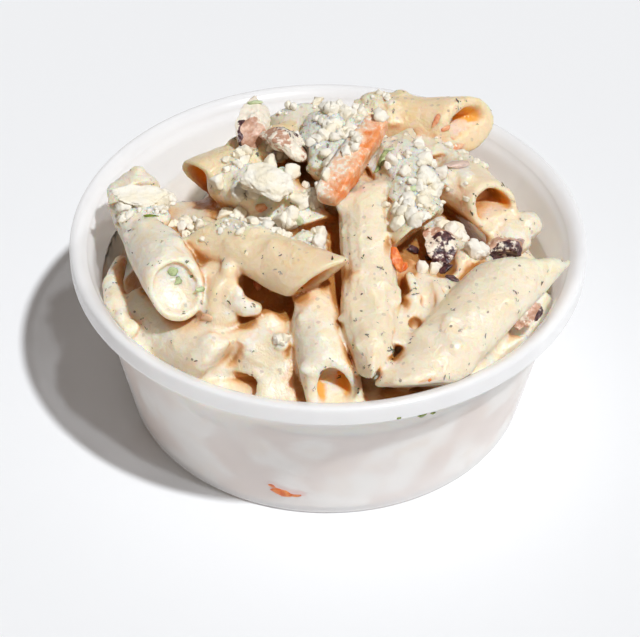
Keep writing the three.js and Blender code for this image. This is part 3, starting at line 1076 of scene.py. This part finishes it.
# Many small things gathered in one mesh
class Gathered:
    def __init__(self):
        self.points, self.faces, self.count = [], [], 0

    def add(self, points, faces):
        self.points.append(points)
        self.faces.append(np.asarray(faces) + self.count)
        self.count += len(points)

    def piece(self, name, material, slot, values=None):
        points, faces = np.concatenate(self.points), np.concatenate(self.faces)
        return addPiece(name, points, faces, material, (), values)


def ballOf(detail):
    made = bmesh.new()
    bmesh.ops.create_icosphere(made, subdivisions=detail, radius=1)
    points = np.array([vertex.co for vertex in made.verts])
    faces = np.array([[vertex.index for vertex in face.verts] for face in made.faces])
    made.free()
    return points, faces


def randomTurn(chance):
    return np.array(Quaternion(chance.normal(size=4)).normalized().to_matrix())


# A broken lump: a ball with flat breaks and a grainy skin
def crumbPoints(ball, sizes, chance, breaks, rough):
    points = ball.copy()
    for _ in range(breaks):
        way = chance.normal(size=3)
        way /= np.linalg.norm(way)
        over = np.maximum(points @ way - chance.uniform(0.5, 0.85), 0)
        points -= np.outer(over * 0.9, way)
    seed = int(chance.integers(1000))
    for size, share in ((0.5, 1.0), (0.25, 0.6), (0.12, 0.35)):
        points = points * (1 + rough * share * softNoise(points, size, seed + int(size * 100)))[:, None]
    return points * np.asarray(sizes)


# Feta crumbs: middle of a patch, its half width each way, how many, and their sizes

crumbPatches = [
    ((-41.5, -4), (6, 3), 18, (0.6, 1.8)),
    ((-41, -7), (6, 2), 14, (0.6, 1.8)),
    ((-34.5, -1), (2.5, 3), 8, (1.0, 2.2)),
    ((-31, -9), (3, 3), 8, (0.9, 1.9)),
    ((-15, -15), (12, 3), 18, (0.6, 1.9)),
    ((-15, -19), (11, 2), 14, (0.5, 1.5)),
    ((-20, -4.5), (3, 4), 10, (1.4, 2.5)),
    ((-10, -9), (4, 3), 9, (1.4, 2.6)),
    ((-4.5, -4.5), (2, 2), 4, (1.8, 2.8)),
    ((-3.5, -6.0), (4, 2), 8, (1.1, 2.2)),
    ((18.5, -13.5), (5, 3), 16, (0.8, 1.9)),
    ((6.0, 0.5), (2.0, 4), 4, (1.0, 1.9)),
    ((-20, 9), (4, 4), 10, (0.9, 2.1)),
    ((0, 9), (9, 9), 22, (1.2, 2.5)),
    ((2, 16), (7, 7), 22, (0.9, 2.2)),
    ((4, 21), (6, 4), 16, (0.8, 2.0)),
    ((-12, 14), (4, 4), 12, (0.6, 1.6)),
    ((20, 0), (8, 10), 34, (0.6, 1.9)),
    ((20, -9), (6, 4), 26, (0.4, 1.3)),
    ((22, -4), (6, 6), 10, (1.3, 2.4)),
    ((28, -6), (2.5, 2.5), 5, (1.8, 2.9)),
    ((15.5, -18), (2, 2), 5, (0.9, 1.8)),
    ((21, -20), (2.5, 1.5), 5, (1.2, 2.2)),
    ((32, -16), (2.5, 2), 5, (1.4, 2.8)),
    ((-3, -18), (3, 3), 8, (0.7, 1.8)),
    ((-10.4, -38.3), (1.4, 1), 5, (1.0, 1.9)),
    ((30, 20), (9, 9), 12, (0.5, 1.4)),
    ((-8, 32), (10, 5), 14, (0.5, 1.6)),
    ((10, 34), (8, 4), 10, (0.5, 1.6)),
]


def addFetaCrumbs(surface):
    chance = np.random.default_rng(29)
    gathered = Gathered()
    fine, coarse = ballOf(3), ballOf(2)
    for middle, spread, count, (small, large) in crumbPatches:
        for _ in range(count):
            spot = np.array(middle) + np.array(spread) * chance.normal(0, 0.55, 2)
            size = small + (large - small) * chance.random() ** 2
            found = surface.below(*spot)
            if found is None:
                continue
            place, normal = found
            ball, faces = fine if size > 0.9 else coarse
            points = crumbPoints(ball, size * chance.uniform(0.75, 1.2, 3), chance, 10, 0.2)
            gathered.add(points @ randomTurn(chance).T + place + normal * size * 0.3, faces)
    return gathered.piece("fetaCrumbs", fetaLook(), "feta")


# The large pieces on top. skinWay and skinFrom say where an olive's skin is, coat is how much
# dressing it has, and clean is a place without any, with its reach.

toppings = {
    "feta_block": {"size": (14, 10.5, 7), "at": (-14.2, -3.5, 60.4), "turn": (16, 6, -12)},
    "feta_left": {"size": (13.5, 6.5, 4.4), "at": (-41.2, -3.2, 55.6), "turn": (-8, 10, 14)},
    "carrot_stick": {"size": (6.4, 25.5, 4.8), "at": (5.3, -0.1, 65), "turn": (14, -6, -29)},
    "olive_wedge": {
        "size": (15, 8, 6), "bend": 1.5, "at": (-17.2, 19.5, 60.5), "turn": (20, 50, 74),
        "skinWay": (-0.9, -0.3, -0.3), "skinFrom": 0.45, "coat": 0.5, "clean": ((-17.6, 15, 60.5), 3.6),
    },
    "olive_slice": {
        "size": (13, 9, 5), "bend": 1.2, "at": (-9.5, 12, 60.2), "turn": (-14, 18, -40),
        "skinWay": (0.6, 0.6, 0.5), "skinFrom": 0.5, "coat": 0.55,
    },
    "olive_dark": {
        "size": (12, 8, 5), "bend": 1, "at": (24.8, -13, 49.6), "turn": (24, 12, -50),
        "skinWay": (0.3, -0.8, 0.3), "skinFrom": 0.0, "coat": 0.5,
    },
    "olive_low": {
        "size": (10, 6.5, 5), "bend": 0.8, "at": (39.6, -9, 47.4), "turn": (6, -4, 8),
        "skinWay": (0.3, -0.9, 0.0), "skinFrom": 0.3, "coat": 0.36,
    },
    "olive_right": {
        "size": (9, 6.5, 5), "bend": 0.8, "at": (43.2, -27.2, 43.2), "turn": (0, -24, 54),
        "skinWay": (0.9, -0.3, 0.0), "skinFrom": 0.7, "coat": 0.42,
    },
}


def turnOf(degrees):
    # the turns are about X, then Y, then Z of the piece itself
    turn = Matrix.Identity(3)
    for angle, axis in zip(degrees, "XYZ"):
        turn = turn @ Matrix.Rotation(math.radians(angle), 3, axis)
    return np.array(turn)


def placed(points, topping):
    return points @ turnOf(topping["turn"]).T + np.array(topping["at"])


def addFetaLump(name, seed):
    topping = toppings[name]
    chance = np.random.default_rng(seed)
    ball, faces = ballOf(6)
    points = crumbPoints(ball, np.array(topping["size"]) / 2 * 1.1, chance, 12, 0.13)
    addPiece(name + "_real", placed(points, topping), faces, fetaLook(), (name,))


def addOlive(name, seed):
    topping = toppings[name]
    length, width, thickness = topping["size"]
    ball, faces = ballOf(6)
    chance = np.random.default_rng(seed)
    chopped = crumbPoints(ball, (1, 1, 1), chance, 5, 0.05)
    share = chopped[:, 0]
    points = np.stack([
        share * length / 2,
        chopped[:, 1] * width / 2 * (1 - 0.15 * share),
        chopped[:, 2] * thickness / 2 - topping["bend"] * share ** 2,
    ], axis=1)
    points += ball * (0.7 * softNoise(points, 2.8, seed) + 0.3 * softNoise(points, 1.1, seed + 2))[:, None]
    way = np.array(topping["skinWay"]) / np.linalg.norm(topping["skinWay"])
    facing = (ball @ turnOf(topping["turn"]).T) @ way + 0.12 * softNoise(points, 1.5, seed + 1)
    skin = np.clip((facing - topping["skinFrom"]) / 0.06 + 0.5, 0, 1)
    points = placed(points, topping)
    coat = np.full(len(points), topping["coat"])
    if "clean" in topping:
        middle, reach = topping["clean"]
        coat += np.clip((np.linalg.norm(points - np.array(middle), axis=1) / reach - 1) * 1.5, -0.5, 0.6)
    values = {"skin": skin, "coat": coat}
    addPiece(name + "_real", points, faces, oliveLook(), (name,), values)


def addCarrot():
    topping = toppings["carrot_stick"]
    width, length, thickness = topping["size"]
    ball, faces = ballOf(6)
    # a ball pushed out towards a box
    box = np.sign(ball) * np.abs(ball) ** 0.35
    box /= np.abs(box).max(axis=0)
    share = box[:, 1]
    taper = 1 - 0.12 * share ** 2 - 0.1 * share
    points = np.stack([
        box[:, 0] * width / 2 * taper,
        share * length / 2,
        box[:, 2] * thickness / 2 * taper - 0.7 * share ** 2,
    ], axis=1)
    points += ball * (0.3 * softNoise(points, 2.2, 5) + 0.12 * softNoise(points, 0.9, 6))[:, None]
    frost = np.clip(0.5 - 0.9 * box[:, 0] + 0.25 * box[:, 2], 0, 1)
    points = placed(points, topping)
    addPiece("carrotStick", points, faces, carrotLook(), ("carrot_stick",), {"frost": frost})


herbs = {
    "count": 560, "long": (0.12, 0.75), "wide": (0.07, 0.24), "thick": 0.05,
    "darks": ((0.05, 0.045, 0.03), (0.12, 0.11, 0.06)), "veiled": (0.58, 0.50, 0.40),
}


def herbLook():
    look = Look("dill")
    shade, cloud = look.attribute("shade"), look.noise(0.5, 2)
    dark = cloud.between(0.4, 0.6).mix(*herbs["darks"])
    return look.finish({
        "Base Color": (shade ** 1.5).mix(dark, herbs["veiled"]),
        "Roughness": 0.35 + cloud * 0.3,
    })


# Flecks of dill: one to three ragged bits beside each other, some of them veiled by dressing
def addHerbs(heapPiece, grid):
    chance = np.random.default_rng(7)
    mesh = heapPiece.data
    points = np.empty(len(mesh.vertices) * 3)
    mesh.vertices.foreach_get("co", points)
    points = points.reshape(-1, 3) / mm
    normals = grid.slope(points)
    gap = np.empty(len(points))
    mesh.attributes["gap"].data.foreach_get("value", gap)
    seen = np.where((normals[:, 2] > 0.1) & (gap < 0.6) & (points[:, 2] > 34))[0]
    ball, faces = ballOf(1)
    gathered, shades = Gathered(), []
    for i in chance.choice(seen, herbs["count"], replace=False):
        normal = normals[i]
        way = np.cross(normal, chance.normal(size=3))
        way /= np.linalg.norm(way)
        shade = chance.random() ** 0.7
        for _ in range(chance.integers(1, 4)):
            way = way + np.cross(normal, way) * chance.normal(0, 0.5)
            way /= np.linalg.norm(way)
            across = np.cross(normal, way)
            long = herbs["long"][0] + np.ptp(herbs["long"]) * chance.random() ** 2.5
            wide = chance.uniform(*herbs["wide"])
            bend = chance.uniform(-0.5, 0.5) * long
            share = ball[:, 0]
            leaf = np.outer(share * long, way) + np.outer(ball[:, 1] * wide + bend * share ** 2, across)
            leaf += np.outer(ball[:, 2] * herbs["thick"] + chance.uniform(-0.02, 0.02), normal)
            moved = way * chance.normal(0, 0.3) + across * chance.normal(0, 0.25)
            gathered.add(leaf + points[i] + moved, faces)
            shades.append(np.full(len(ball), shade))
    gathered.piece("dillFlecks", herbLook(), "pasta", {"shade": np.concatenate(shades)})


# Small pieces, by where they lie in the photograph (in its pixels), with their length, width and
# thickness in mm, how much they are turned in degrees, and how pale they are

carrotSpots = [
    ((262, 207), (3.2, 2.2, 1.2), 20, 0.4),
    ((394, 260), (6.5, 4.0, 3.0), -50, 0.0),
    ((403, 268), (3.2, 2.2, 2.0), 30, 0.1),
    ((436, 121), (4.2, 1.4, 1.0), 60, 0.4),
    ((446, 128), (3.0, 1.2, 1.0), 30, 0.4),
    ((457, 147), (5.0, 1.6, 1.2), 10, 0.5),
    ((513, 186), (3.6, 1.4, 1.0), 70, 0.6),
    ((206, 317), (3.4, 2.0, 0.7), 20, 0.6),
    ((430, 380), (0.9, 0.8, 0.4), 0, 0.0),
    ((457, 230), (4.0, 2.6, 2.0), 40, 0.0),
    ((258, 284), (3.4, 2.0, 1.4), 80, 0.3),
]

greenSpots = [
    ((172, 272), (2.8, 2.2, 0.5), 20, 0.45),
    ((178, 281), (2.6, 1.8, 0.5), 70, 0.5),
    ((201, 289), (2.8, 1.3, 0.5), 10, 0.5),
    ((192, 276), (1.4, 0.7, 0.4), 50, 0.3),
    ((150, 216), (3.8, 1.1, 0.6), 0, 0.0),
    ((384, 158), (4.6, 1.8, 1.0), 60, 0.4),
    ((389, 150), (3.0, 1.2, 0.8), 20, 0.6),
    ((379, 167), (3.2, 1.2, 0.8), 45, 0.3),
    ((414, 189), (2.6, 1.6, 0.7), 30, 0.6),
    ((298, 220), (3.6, 3.0, 1.6), 10, 0.8),
    ((254, 103), (3.8, 1.2, 0.8), 5, 0.6),
]

oliveSpots = [
    ((412, 250), (4.0, 2.6, 1.6), 10, 0.0),
    ((430, 256), (3.4, 2.2, 1.6), 60, 0.1),
    ((446, 270), (3.4, 2.4, 1.6), 20, 0.0),
    ((452, 279), (3.4, 2.0, 1.4), -30, 0.1),
    ((458, 166), (7.0, 3.4, 1.2), 20, 0.8),
    ((303, 158), (2.4, 1.8, 1.2), 20, 0.2),
    ((516, 243), (4.0, 2.2, 1.4), 10, 0.5),
]

rimSpots = [
    ((399, 418), (1.0, 0.7, 0.4), 20, 0.2),
    ((422, 415), (2.4, 1.3, 0.5), 10, 0.1),
    ((433, 413), (1.4, 0.8, 0.4), 50, 0.1),
]

wallSpots = [  # behind the wall
    ((280, 491), (5.6, 4.0, 1.1), 10, 0.0),
    ((294, 493), (5.0, 3.4, 1.0), 0, 0.1),
    ((272, 484), (3.4, 2.6, 0.9), 30, 0.2),
]


# dark, bright and pale
bitColors = {
    "carrotBits": ((0.72, 0.13, 0.02), (0.88, 0.28, 0.06), (0.95, 0.72, 0.50)),
    "greenOnion": ((0.10, 0.13, 0.01), (0.26, 0.36, 0.04), (0.72, 0.80, 0.52)),
    "oliveBits": ((0.02, 0.01, 0.014), (0.14, 0.055, 0.06), (0.84, 0.64, 0.54)),
}


def bitsLook(name):
    dark, bright, pale = bitColors[name]
    look = Look(name)
    cloud, shade = look.noise(1.4, 3, 0.6), look.attribute("shade")
    color = cloud.between(0.35, 0.65).mix(dark, bright)
    return look.finish({
        "Base Color": (shade + (cloud - 0.5) * 0.8).between(0.0, 1.0).mix(color, pale),
        "Roughness": 0.25 + cloud * 0.3,
        "Normal": look.bump(cloud, 0.2),
        "Subsurface Weight": 0.3,
        "Subsurface Radius": (1.0, 0.7, 0.4),
        "Subsurface Scale": 0.8 * mm,
    })


def addBits(name, spots, look, slot, surface, seed):
    chance = np.random.default_rng(seed)
    ball, faces = ballOf(3)
    gathered, shades = Gathered(), []
    for pixel, (length, width, thickness), turn, shade in spots:
        found = surface.under(*pixel)
        if found is None:
            print("no food under", name, pixel)
            continue
        place, normal = found
        way = np.array([math.cos(math.radians(turn)), math.sin(math.radians(turn)), 0])
        way -= normal * (way @ normal)
        way /= np.linalg.norm(way)
        across = np.cross(normal, way)
        points = crumbPoints(ball, (length / 2, width / 2, thickness / 2), chance, 9, 0.16)
        points = points @ np.stack([way, across, normal])
        gathered.add(points + place + normal * thickness * 0.15, faces)
        shades.append(np.full(len(points), shade))
    gathered.piece(name, look, slot, {"shade": np.concatenate(shades)})


def addFloor():
    mesh = bpy.data.meshes.new("floor")
    half = pale["half"]
    corners = [(-half, -half, 0), (half, -half, 0), (half, half, 0), (-half, half, 0)]
    mesh.from_pydata(corners, [], [(0, 1, 2, 3)])
    mesh.materials.append(floorLook())
    floor = bpy.data.objects.new("floor", mesh)
    bpy.context.scene.collection.objects.link(floor)


# Everything, from the camera to the smallest bits

addCamera()
addLight()
addFloor()
print("camera, light and floor made")
addCup()
grid = addHeap()
addPackedSalad()
heapPiece = bpy.data.objects["dressedPasta"]
addFetaLump("feta_block", 5)
addFetaLump("feta_left", 9)
addCarrot()
for number, name in enumerate(("olive_wedge", "olive_slice", "olive_dark", "olive_low", "olive_right")):
    addOlive(name, 60 + number)
addFetaCrumbs(Surface([heapPiece, bpy.data.objects["carrotStick"]]))
addHerbs(heapPiece, grid)
surface = Surface([heapPiece, bpy.data.objects["olive_wedge_real"]])
carrotBitsLook, greenLook, oliveBitsLook = (bitsLook(name) for name in bitColors)
addBits("carrotBits", carrotSpots, carrotBitsLook, "carrot", surface, 3)
addBits("greenOnion", greenSpots, greenLook, "pasta", surface, 4)
addBits("oliveBits", oliveSpots, oliveBitsLook, "olive", surface, 5)
addBits("rimSpecks", rimSpots, greenLook, "pasta", Surface([bpy.data.objects["cupShell"]]), 6)
packedSurface = Surface([bpy.data.objects["packedSalad"]])
addBits("carrotBehindWall", wallSpots, carrotBitsLook, "carrot", packedSurface, 7)

print("all pieces made")
